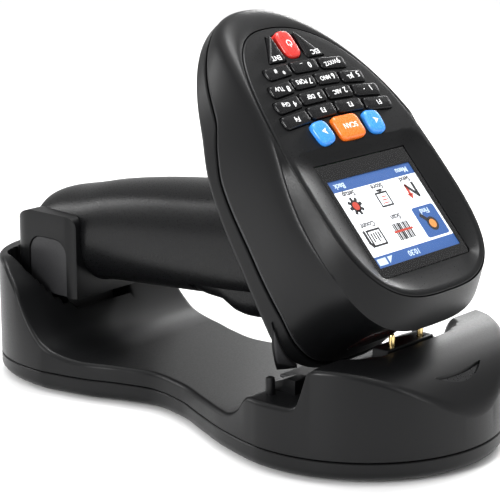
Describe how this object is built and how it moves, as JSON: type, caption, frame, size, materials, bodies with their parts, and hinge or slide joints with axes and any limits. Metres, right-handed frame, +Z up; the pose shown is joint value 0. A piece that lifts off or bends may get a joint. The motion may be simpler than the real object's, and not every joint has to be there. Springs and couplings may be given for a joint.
{
  "type": "handheld barcode scanner with charging cradle",
  "caption": "Cordless pistol-grip stock-taking scanner with colour screen and keypad, lying nose down in its waisted charging cradle; it lifts off, trigger and keys press.",
  "frame": {"origin": "Middle of the underside of the cradle's feet, at the middle of the overall box.", "axes": "+X runs along the cradle towards the end that holds the scanner's nose, +Z is up, and y = 0 is the mirror plane."},
  "size_m": [0.2124, 0.1, 0.1438],
  "materials": {
    "charcoal_plastic": "satin moulded shell",
    "panel_plastic": "fine satin",
    "key_rubber": "soft keys with a thin printed legend",
    "red_key": "smooth",
    "blue_key": "smooth",
    "orange_key": "smooth",
    "window_glass": "clear, dark border",
    "screen": "lit colour screen",
    "soft_rubber": "matt",
    "steel": "plain",
    "brass": "gold plated",
    "circuit_board": "solder mask",
    "cell_wrap": "shrink wrap",
    "lens": "unlit smoked light window"
  },
  "bodies": {
    "cradle": {"cradle_top_shell": "charcoal_plastic", "cradle_base_plate": "charcoal_plastic", "cradle_foot_1": "soft_rubber", "cradle_foot_2": "soft_rubber", "cradle_foot_3": "soft_rubber", "cradle_foot_4": "soft_rubber", "base_screw_1": "steel", "base_screw_2": "steel", "base_screw_3": "steel", "base_screw_4": "steel", "cradle_circuit_board": "circuit_board", "contact_block": "panel_plastic", "nose_rest_pad": "soft_rubber", "handle_rest": "soft_rubber", "power_inlet": "steel", "status_light_lens": "lens"},
    "charging_pin_left": {"charging_pin_left": "brass"},
    "charging_pin_right": {"charging_pin_right": "brass"},
    "trigger": {"trigger": "charcoal_plastic"},
    "key_star": {"key_star": "key_rubber"},
    "key_0": {"key_0": "key_rubber"},
    "key_9": {"key_9": "key_rubber"},
    "key_8": {"key_8": "key_rubber"},
    "key_7": {"key_7": "key_rubber"},
    "key_6": {"key_6": "key_rubber"},
    "key_5": {"key_5": "key_rubber"},
    "key_4": {"key_4": "key_rubber"},
    "key_3": {"key_3": "key_rubber"},
    "key_2": {"key_2": "key_rubber"},
    "key_1": {"key_1": "key_rubber"},
    "key_F4": {"key_F4": "key_rubber"},
    "key_F3": {"key_F3": "key_rubber"},
    "key_F2": {"key_F2": "key_rubber"},
    "key_F1": {"key_F1": "key_rubber"},
    "key_enter": {"key_enter": "key_rubber"},
    "key_escape": {"key_escape": "key_rubber"},
    "key_left": {"key_left": "blue_key"},
    "key_right": {"key_right": "blue_key"},
    "key_scan": {"key_scan": "orange_key"},
    "key_power": {"key_power": "red_key"},
    "scanner": {"handle_boot": "charcoal_plastic", "head_upper_shell": "charcoal_plastic", "head_lower_shell": "charcoal_plastic", "handle_grip": "charcoal_plastic", "face_panel": "panel_plastic", "scan_engine": "panel_plastic", "beeper": "panel_plastic", "trigger_switch": "panel_plastic", "display_window": "window_glass", "scan_window": "window_glass", "display_module": "screen", "seam_gasket": "soft_rubber", "keypad_mat": "soft_rubber", "boot_grip_pad_left": "soft_rubber", "boot_grip_pad_right": "soft_rubber", "trigger_pin": "steel", "trigger_spring": "steel", "main_circuit_board": "circuit_board", "battery": "cell_wrap"}
  },
  "joints": [
    {"name": "scanner_lift", "type": "slide", "parent": "cradle", "child": "scanner", "axis": [0, 0, 1], "range_m": [0, 0.12]},
    {"name": "trigger_pull", "type": "hinge", "parent": "scanner", "child": "trigger", "pos_m": [0.024, 0, 0.0525], "axis": [0, 1, 0], "range_deg": [0, 5], "stiffness_Nm_per_rad": 0.2, "springref_deg": -8.59, "deforming": ["trigger_spring"]},
    {"name": "key_star_press", "type": "slide", "parent": "scanner", "child": "key_star", "axis": [-0.7478, 0, -0.6639], "range_m": [0, 0.0008], "stiffness_N_per_m": 400, "springref_m": -0.001},
    {"name": "key_0_press", "type": "slide", "parent": "scanner", "child": "key_0", "axis": [-0.7478, 0, -0.6639], "range_m": [0, 0.0008], "stiffness_N_per_m": 400, "springref_m": -0.001},
    {"name": "key_9_press", "type": "slide", "parent": "scanner", "child": "key_9", "axis": [-0.7478, 0, -0.6639], "range_m": [0, 0.0008], "stiffness_N_per_m": 400, "springref_m": -0.001},
    {"name": "key_8_press", "type": "slide", "parent": "scanner", "child": "key_8", "axis": [-0.7478, 0, -0.6639], "range_m": [0, 0.0008], "stiffness_N_per_m": 400, "springref_m": -0.001},
    {"name": "key_7_press", "type": "slide", "parent": "scanner", "child": "key_7", "axis": [-0.7478, 0, -0.6639], "range_m": [0, 0.0008], "stiffness_N_per_m": 400, "springref_m": -0.001},
    {"name": "key_6_press", "type": "slide", "parent": "scanner", "child": "key_6", "axis": [-0.7478, 0, -0.6639], "range_m": [0, 0.0008], "stiffness_N_per_m": 400, "springref_m": -0.001},
    {"name": "key_5_press", "type": "slide", "parent": "scanner", "child": "key_5", "axis": [-0.7478, 0, -0.6639], "range_m": [0, 0.0008], "stiffness_N_per_m": 400, "springref_m": -0.001},
    {"name": "key_4_press", "type": "slide", "parent": "scanner", "child": "key_4", "axis": [-0.7478, 0, -0.6639], "range_m": [0, 0.0008], "stiffness_N_per_m": 400, "springref_m": -0.001},
    {"name": "key_3_press", "type": "slide", "parent": "scanner", "child": "key_3", "axis": [-0.7478, 0, -0.6639], "range_m": [0, 0.0008], "stiffness_N_per_m": 400, "springref_m": -0.001},
    {"name": "key_2_press", "type": "slide", "parent": "scanner", "child": "key_2", "axis": [-0.7478, 0, -0.6639], "range_m": [0, 0.0008], "stiffness_N_per_m": 400, "springref_m": -0.001},
    {"name": "key_1_press", "type": "slide", "parent": "scanner", "child": "key_1", "axis": [-0.7478, 0, -0.6639], "range_m": [0, 0.0008], "stiffness_N_per_m": 400, "springref_m": -0.001},
    {"name": "key_F4_press", "type": "slide", "parent": "scanner", "child": "key_F4", "axis": [-0.7478, 0, -0.6639], "range_m": [0, 0.0008], "stiffness_N_per_m": 400, "springref_m": -0.001},
    {"name": "key_F3_press", "type": "slide", "parent": "scanner", "child": "key_F3", "axis": [-0.7478, 0, -0.6639], "range_m": [0, 0.0008], "stiffness_N_per_m": 400, "springref_m": -0.001},
    {"name": "key_F2_press", "type": "slide", "parent": "scanner", "child": "key_F2", "axis": [-0.7478, 0, -0.6639], "range_m": [0, 0.0008], "stiffness_N_per_m": 400, "springref_m": -0.001},
    {"name": "key_F1_press", "type": "slide", "parent": "scanner", "child": "key_F1", "axis": [-0.7478, 0, -0.6639], "range_m": [0, 0.0008], "stiffness_N_per_m": 400, "springref_m": -0.001},
    {"name": "key_enter_press", "type": "slide", "parent": "scanner", "child": "key_enter", "axis": [-0.7478, 0, -0.6639], "range_m": [0, 0.0008], "stiffness_N_per_m": 400, "springref_m": -0.001},
    {"name": "key_escape_press", "type": "slide", "parent": "scanner", "child": "key_escape", "axis": [-0.7478, 0, -0.6639], "range_m": [0, 0.0008], "stiffness_N_per_m": 400, "springref_m": -0.001},
    {"name": "key_left_press", "type": "slide", "parent": "scanner", "child": "key_left", "axis": [-0.7478, 0, -0.6639], "range_m": [0, 0.0008], "stiffness_N_per_m": 400, "springref_m": -0.001},
    {"name": "key_right_press", "type": "slide", "parent": "scanner", "child": "key_right", "axis": [-0.7478, 0, -0.6639], "range_m": [0, 0.0008], "stiffness_N_per_m": 400, "springref_m": -0.001},
    {"name": "key_scan_press", "type": "slide", "parent": "scanner", "child": "key_scan", "axis": [-0.7478, 0, -0.6639], "range_m": [0, 0.0008], "stiffness_N_per_m": 400, "springref_m": -0.001},
    {"name": "key_power_press", "type": "slide", "parent": "scanner", "child": "key_power", "axis": [-0.7478, 0, -0.6639], "range_m": [0, 0.0008], "stiffness_N_per_m": 400, "springref_m": -0.001},
    {"name": "charging_pin_left_press", "type": "slide", "parent": "cradle", "child": "charging_pin_left", "axis": [0, 0, -1], "range_m": [0, 0.0025], "stiffness_N_per_m": 150, "springref_m": -0.002},
    {"name": "charging_pin_right_press", "type": "slide", "parent": "cradle", "child": "charging_pin_right", "axis": [0, 0, -1], "range_m": [0, 0.0025], "stiffness_N_per_m": 150, "springref_m": -0.002}
  ]
}
